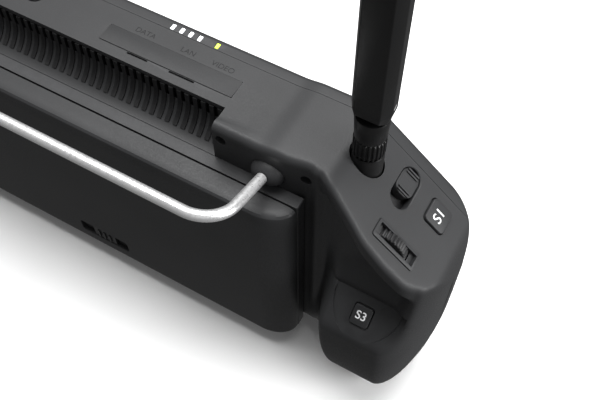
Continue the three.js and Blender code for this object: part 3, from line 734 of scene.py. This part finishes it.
def bail_path():
    """Out along an arm, round a bend of 12 mm, along the bar, and back the same way."""
    arm = np.array([0, BAIL_BAR[0] - BAIL_PIVOT[1], BAIL_BAR[1] - BAIL_PIVOT[2]])
    length = np.linalg.norm(arm)
    turn = np.linspace(0, math.pi / 2, 15)
    side = np.concatenate([[BAIL_PIVOT[0]] * 6, BAIL_PIVOT[0] - 12 * (1 - np.cos(turn))])
    out = np.concatenate([np.linspace(5.2, length - 12, 7)[:-1], length - 12 + 12 * np.sin(turn)])
    half = np.stack([-side, 0 * out, 0 * out], -1) + out[:, None] * arm / length
    middle = np.linspace(-BAIL_PIVOT[0] + 12, BAIL_PIVOT[0] - 12, 9)[1:-1]
    bar = np.stack([middle, 0 * middle, 0 * middle], -1) + arm
    path = np.concatenate([half, bar, half[::-1] * (-1, 1, 1)])
    return path + (0, BAIL_PIVOT[1], BAIL_PIVOT[2])


placed(tube("bail_wire", bail_path(), BAIL_ROD), "bail", POLISHED, ["bail_rod"], 60)


def bail_pivot(side):
    """A barrel with rounded ends, bored for the wire."""
    name = ("left" if side < 0 else "right") + "_bail_barrel"
    barrel = lathe(name, barrel_profile(0), mirrored_place(side, BAIL_PIVOT), SIDE_AXES)
    rise = math.atan2(BAIL_BAR[1] - BAIL_PIVOT[2], BAIL_BAR[0] - BAIL_PIVOT[1])
    out = np.array([(1, 0, 0), (0, -math.sin(rise), math.cos(rise)), (0, math.cos(rise), math.sin(rise))])
    return carved(barrel, [prism("bore", disc(2.3, 32), 4.7, 25, mirrored_place(side, BAIL_PIVOT), out)])


for side in SIDES:
    word = "left" if side < 0 else "right"
    placed(bail_pivot(side), "bail", CHARCOAL, [word + "_bail_pivot"])


# ---------------------------------------------------------------- Antennas
# Each antenna screws on to a jack in the shoulder with a fluted collar. Above it a sleeve turns, and
# an eight-sided paddle folds on a cross pin in the sleeve's tongue. All but the steel pin are satin black
# plastic.
MAST_TOP = 285.0
PIN_Z = 158.0
PIN_RADIUS = 1.1
TONGUE = (2.3, 3.4)
FORK_HALF = 2.6
BLACK = finish_of("black_plastic", (0.004, 0.004, 0.0042), (0.07, 0.07, 0.07), 0.36, grain=0.0003, bump=0.05)


def fluted(radius, depth, teeth, softness=5):
    """Outline of a disc with rounded flutes round its edge."""
    turn = np.linspace(0, 2 * math.pi, teeth * 10 + 1)[:-1]
    wave = np.tanh(softness * np.cos(teeth * turn) * 0.5)
    reach = radius - depth * (0.5 - 0.5 * wave)
    return np.stack([reach * np.cos(turn), reach * np.sin(turn)], -1)


def collar(name, place):
    """A fluted ring, round at its lower edge and chamfered at its upper one, with a bore."""
    outline = fluted(5.6, 0.42, 22)
    rings = []
    for height, size in [(132.0, 0.93), (132.4, 0.985), (133.0, 1.0), (139.2, 1.0), (139.8, 0.95),
                         (140.0, 0.90)]:
        rings.append(np.hstack([outline * size, np.full((len(outline), 1), height)]) + place)
    return carved(loop_surface(name, np.stack(rings)), [prism("bore", disc(3.3), 130, 142, place)])


def blade(name, place):
    """An eight-sided paddle, rounded below about its pin; its slot for the tongue is closed behind."""
    outline = np.array([(6.9, -1.8), (6.9, 1.8), (4.6, 5.8), (-4.6, 5.8), (-6.9, 1.8), (-6.9, -1.8),
                        (-4.6, -5.8), (4.6, -5.8)])
    rings = []
    for height, size in [(151.0, 0.84), (152.4, 0.88), (156.4, 1.0), (MAST_TOP - 1.5, 1.0), (MAST_TOP, 0.8)]:
        rings.append(np.hstack([outline * size, np.full((8, 1), height)]) + place)
    paddle = loop_surface(name, np.stack(rings))
    soften(paddle, 0.35, 3, 25)
    round_end = joined(prism("round", disc(6.98, 64), -9, 9, place + (0, 0, PIN_Z), SIDE_AXES),
                       [block("above", (place[0] - 9, place[0] + 9), (place[1] - 9, place[1] + 9),
                              (PIN_Z, MAST_TOP + 2))])
    keep = paddle.modifiers.new("keep", "BOOLEAN")
    keep.operation = "INTERSECT"
    keep.solver = "MANIFOLD"
    keep.object = round_end
    paddle.data = bpy.data.meshes.new_from_object(
        paddle.evaluated_get(bpy.context.evaluated_depsgraph_get()))
    paddle.modifiers.clear()
    bpy.data.objects.remove(round_end)
    slot = block("fork", (place[0] - FORK_HALF, place[0] + FORK_HALF), (place[1] - 9, place[1] + 3.7),
                 (148, PIN_Z + 4.2))
    hole = prism("hole", disc(1.3, 24), -9, 9, place + (0, 0, PIN_Z), SIDE_AXES)
    return carved(paddle, [slot, hole])


def antenna(side):
    """Jack, collar, sleeve, paddle and pin of one antenna."""
    word = "left" if side < 0 else "right"
    place = np.array((side * MAST[0], MAST[1], 0))
    jack = [(0.01, 117), (5.5, 117), (5.5, 131.0), (5.2, 131.6), (3, 131.6), (3, 135.4), (0.01, 135.4)]
    placed(lathe(word + "_jack", jack, place), "case", BLACK, [word + "_antenna_jack"])
    placed(collar(word + "_knurled_collar", place), word + "_collar", BLACK, [word + "_antenna_collar"])
    body = [(0.01, 136), (3, 136), (3, 140.3), (5.2, 140.3), (5.4, 140.8), (5.85, 149.9), (5.6, 150.6),
            (0.01, 150.6)]
    sleeve = lathe(word + "_sleeve", body, place)
    tongue = block("tongue", (place[0] - TONGUE[0], place[0] + TONGUE[0]),
                   (place[1] - TONGUE[1], place[1] + TONGUE[1]), (149.8, PIN_Z))
    knuckle = prism("knuckle", disc(TONGUE[1], 40), -TONGUE[0], TONGUE[0], place + (0, 0, PIN_Z), SIDE_AXES)
    sleeve = joined(sleeve, [tongue, knuckle])
    sleeve = carved(sleeve, [prism("hole", disc(1.4, 24), -9, 9, place + (0, 0, PIN_Z), SIDE_AXES)])
    placed(sleeve, word + "_swivel", BLACK, [word + "_antenna_sleeve"])
    placed(blade(word + "_paddle", place), word + "_mast", BLACK, [word + "_antenna_blade"],
           20)
    pin = prism(word + "_fold_pin", disc(PIN_RADIUS, 24), -6.75, 6.75, place + (0, 0, PIN_Z), SIDE_AXES)
    placed(pin, word + "_mast", POLISHED)


for side in SIDES:
    antenna(side)


# ---------------------------------------------------------------- Thumb dials
# A ribbed thumb wheel in each shoulder, behind a slim frame pressed into the slope.
SATIN = finish_of("satin_black", (0.02, 0.02, 0.021), (0.07, 0.07, 0.07), 0.42, grain=0.0003, bump=0.08)


def dial(side):
    """The frame round the slot, and the wheel with its axle."""
    word = "left" if side < 0 else "right"
    slope, place = shoulder_axes(side), mirrored_place(side, DIAL)
    frame_ring = prism(word + "_dial_frame", rounded(20.3, 7.1, 0.9, 5), -1, 0.5, place, slope)
    opening = prism("slot", rounded(18.2, 4.6, 0.3, 3), -3, 3, place, slope)
    frame_ring = carved(soften(frame_ring, 0.25, 2), [opening])
    placed(frame_ring, "case", CHARCOAL, [word + "_dial_bezel"])
    centre = np.array(place) - DIAL_DEPTH * slope[2]
    centre[1] = 9.25
    teeth = fluted(9.0, 0.75, 36, 4)
    basis = np.array([slope[0], np.cross((0, 1, 0), slope[0]), (0, 1, 0)])
    rings = []
    for height, size in [(-1.7, 0.96), (-1.5, 0.99), (-1.2, 1.0), (1.2, 1.0), (1.5, 0.99), (1.7, 0.96)]:
        rings.append(np.hstack([teeth * size, np.full((len(teeth), 1), height)]) @ basis + centre)
    wheel = joined(loop_surface(word + "_thumb_wheel", np.stack(rings)),
                   [prism("axle", disc(1.2, 24), -1.7, 1.7, centre, basis)])
    placed(wheel, word + "_dial", SATIN, [word + "_dial_wheel"])


for side in SIDES:
    dial(side)


# ---------------------------------------------------------------- Slide switches
# A slider with two pairs of ridges runs in a round-ended well in each shoulder.
SLIDER_REST = -2.4


def slide_switch(side):
    """The slider, resting near the front end of its well."""
    word = "left" if side < 0 else "right"
    slope = shoulder_axes(side)
    place = np.array(mirrored_place(side, SLIDER)) + (0, SLIDER_REST, 0)
    pad = soften(prism(word + "_slider_pad", rounded(8.2, 10.4, 3.2, 8), -4.2, -0.6, place, slope), 0.3, 3)
    ridges = []
    for y in (-4.4, -3.2, 3.2, 4.4):
        ridge = prism("ridge", rounded(5.6, 0.7, 0.3, 3), -0.8, 0.1, place + (0, y, 0), slope)
        ridges.append(soften(ridge, 0.18, 2))
    placed(joined(pad, ridges), word + "_switch", CHARCOAL, [word + "_mode_slider"])


for side in SIDES:
    slide_switch(side)


# ---------------------------------------------------------------- Programmable keys and their numbers
# Square caps with a white number: S1 and S2 on the shoulders, S3 and S4 on the ledges of the grips.
WHITE_INK = finish_of("white_ink", (0.82, 0.83, 0.84), (0.6, 0.6, 0.6), 0.5, grain=0.0002, bump=0.02,
                      mottle=0.1, wear=0.1)


def lettering(name, words, size, place, across, up, thickness=0.03, weight=0.0):
    """Printed words as a thin closed mesh, centred on a place, reading along one direction."""
    curve = bpy.data.curves.new(name, "FONT")
    curve.body = words
    curve.size = size
    curve.align_x = "CENTER"
    curve.align_y = "CENTER"
    curve.extrude = thickness / 2
    curve.offset = weight
    source = bpy.data.objects.new(name + "_source", curve)
    bpy.context.scene.collection.objects.link(source)
    mesh = bpy.data.meshes.new_from_object(source.evaluated_get(bpy.context.evaluated_depsgraph_get()))
    bpy.data.objects.remove(source)
    count = len(mesh.vertices)
    flat = np.zeros(count * 3)
    mesh.vertices.foreach_get("co", flat)
    basis = np.array([across, up, np.cross(across, up)], float)
    mesh.vertices.foreach_set("co", ((flat.reshape(-1, 3) @ basis + np.array(place, float)) * MM).ravel())
    mesh.update()
    mesh.materials.clear()
    piece = bpy.data.objects.new(name, mesh)
    bpy.context.scene.collection.objects.link(piece)
    return piece


def key_cap(name, node, size, radius, low, high, place, axes):
    """A square cap with rounded edges."""
    cap = soften(prism(name, rounded(size[0], size[1], radius, 6), low, high, place, axes), 0.35, 3)
    return placed(cap, node[0], CHARCOAL, [node[1]])


for side, top_word, rear_word in ((-1, "s1", "s3"), (1, "s2", "s4")):
    slope = shoulder_axes(side)
    place = np.array(mirrored_place(side, SHOULDER_KEY))
    key_cap("key_cap_" + top_word, ("key_" + top_word, "shoulder_key_" + top_word), (9.7, 9.6), 1.6,
            -5, 0.9, place, slope)
    uphill = -side * slope[0]
    ink = lettering("number_" + top_word, top_word.upper(), 5.7, place + 0.905 * slope[2],
                    np.cross(uphill, slope[2]), uphill, 0.03, 0.03)
    placed(ink, "key_" + top_word, WHITE_INK)
    place = np.array(mirrored_place(side, REAR_KEY))
    key_cap("key_cap_" + rear_word, ("key_" + rear_word, "rear_key_" + rear_word), (7.3, 8.0), 1.1,
            -5, 0.3, place, LEDGE_AXES)
    ink = lettering("number_" + rear_word, rear_word.upper(), 4.6, place + 0.305 * LEDGE_AXES[2], (-1, 0, 0),
                    -LEDGE_AXES[1], 0.03, 0.04)
    placed(ink, "key_" + rear_word, WHITE_INK)


# ---------------------------------------------------------------- Port flap and top labels
# A soft flap, opened by two nail slots in the shell beside it, covers three sockets. Small engraved
# words on the top name them.
RUBBER = finish_of("flap_rubber", (0.025, 0.0254, 0.0266), (0.06, 0.06, 0.06), 0.6, grain=0.0005, bump=0.15)
ENGRAVED = finish_of("engraving", (0.012, 0.012, 0.013), (0.03, 0.03, 0.03), 0.8, grain=0.0003)


port_lid = soften(prism("port_lid", rounded(*FLAP_SIZE, 0.45, 4), 128.6, TOP, FLAP_PLACE), 0.05, 2)
placed(port_lid, "port_flap", RUBBER, ["port_flap"])
for words, x in (("DATA", -17.3), ("LAN", -35.6), ("VIDEO", -50.2)):
    ink = lettering("label_" + words.lower(), words, 3.2, (x, -13.4, 130.0), (-1, 0, 0), (0, -1, 0), 0.03)
    placed(ink, "case", ENGRAVED)


# ---------------------------------------------------------------- Sticks, front keys and power key
# Two sticks with waisted caps stand in round gimbals; four round keys sit below them.
def stick(side):
    """Stem, cap and the dome that closes the gimbal's opening."""
    word = "left" if side < 0 else "right"
    place = mirrored_place(side, STICK)
    stem = [(0.01, -1.5), (1.9, -1.5), (1.9, 19.5), (2.6, 20.3), (3.4, 21.2), (3.6, 24), (3.7, 28.6),
            (3.4, 29.6), (2.6, 30.15), (0.01, 30.15)]
    body = lathe(word + "_stick_body", stem, place, FRONT_AXES, 40)
    turn = np.linspace(0.12, 0.72, 12)
    outer = np.stack([11.8 * np.sin(turn), 11.8 * np.cos(turn)], -1)
    inner = np.stack([10.6 * np.sin(turn), 10.6 * np.cos(turn)], -1)[::-1]
    loop = np.concatenate([outer, inner, outer[:1]])
    dome = ring_solid("dome", loop, place, FRONT_AXES)
    placed(joined(body, [dome]), word + "_stick", SATIN, [word + "_stick"])


def ring_solid(name, section, place, axes, around=64):
    """A ring whose section is a closed loop of radii and heights."""
    points = np.array(section, float)[:-1]
    turn = np.linspace(0, 2 * math.pi, around + 1)[:-1]
    ring = np.stack([points[None, :, 0] * np.cos(turn)[:, None], points[None, :, 0] * np.sin(turn)[:, None],
                     np.broadcast_to(points[None, :, 1], (around, len(points)))], -1)
    rings = ring @ np.array(axes, float) + np.array(place, float)
    return loop_surface(name, np.concatenate([rings, rings[:1]]), closed=False)


for side in SIDES:
    stick(side)
for number, (x, z) in enumerate(FRONT_KEYS, 1):
    profile = [(0.01, -7), (4.5, -7), (4.5, 0.6), (4.3, 1.0), (3.8, 1.2), (2.5, 1.0), (0.01, 0.8)]
    button = lathe(f"front_button_{number}", profile, (x, SCREEN_Y, z), FRONT_AXES)
    placed(button, f"front_key_{number}", CHARCOAL, [f"front_key_{number}"])
power_profile = [(0.01, 123), (4, 123), (4, 130.1), (3.7, 130.5), (0.01, 130.4)]
button = lathe("power_button", power_profile, POWER_KEY)
placed(button, "power_key", SATIN, ["power_key"])


# ---------------------------------------------------------------- Plain pieces kept from the frame
# Glass, display, boards, sockets, lights, screws, gimbals, switch bodies, latch and
# cells keep the frame's own shapes and take a finish each.
PORT_STEEL = finish_of("port_steel", (0.55, 0.55, 0.56), (0.7, 0.7, 0.7), 0.3, 1.0)
SCREW_STEEL = finish_of("screw_steel", (0.05, 0.05, 0.052), (0.2, 0.2, 0.2), 0.4, 0.9)
SCREEN = finish_of("screen_glass", (0.006, 0.006, 0.007), (0.01, 0.01, 0.01), 0.08, grain=0.002, bump=0.005)
BOARD = finish_of("circuit_board", (0.02, 0.09, 0.045), (0.3, 0.22, 0.08), 0.5, grain=0.002, bump=0.3,
                  mottle=1.5)
PANEL = finish_of("display_panel", (0.01, 0.011, 0.013), (0.02, 0.02, 0.02), 0.25, grain=0.001)
FOIL = finish_of("cell_foil", (0.35, 0.37, 0.4), (0.5, 0.5, 0.5), 0.35, 0.9, grain=0.003, bump=0.4)
WHITE_LIGHT = finish_of("white_light", (0.95, 0.97, 1.0), (0.9, 0.9, 0.9), 0.3, glow=1.6)
GREEN_LIGHT = finish_of("green_light", (0.72, 0.95, 0.08), (0.8, 0.9, 0.2), 0.3, glow=0.9)
KEPT = {
    ALLOY: ["left_gimbal_frame", "right_gimbal_frame", "left_stick_yoke", "right_stick_yoke"],
    SCREEN: ["cover_glass"],
    PANEL: ["display_panel"],
    BOARD: ["main_board", "radio_board"],
    PORT_STEEL: ["data_port", "network_port", "video_port"],
    WHITE_LIGHT: ["battery_light_1", "battery_light_2", "battery_light_3", "battery_light_4"],
    GREEN_LIGHT: ["status_light"],
    SCREW_STEEL: ["rear_screw_1", "rear_screw_2", "rear_screw_3", "rear_screw_4"],
    SATIN: ["left_switch_body", "right_switch_body", "battery_latch"],
    FOIL: ["battery_cell_1", "battery_cell_2", "battery_cell_3"],
}
for finish, names in KEPT.items():
    for name in names:
        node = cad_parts[name]
        node.data.materials.clear()
        node.data.materials.append(finish)
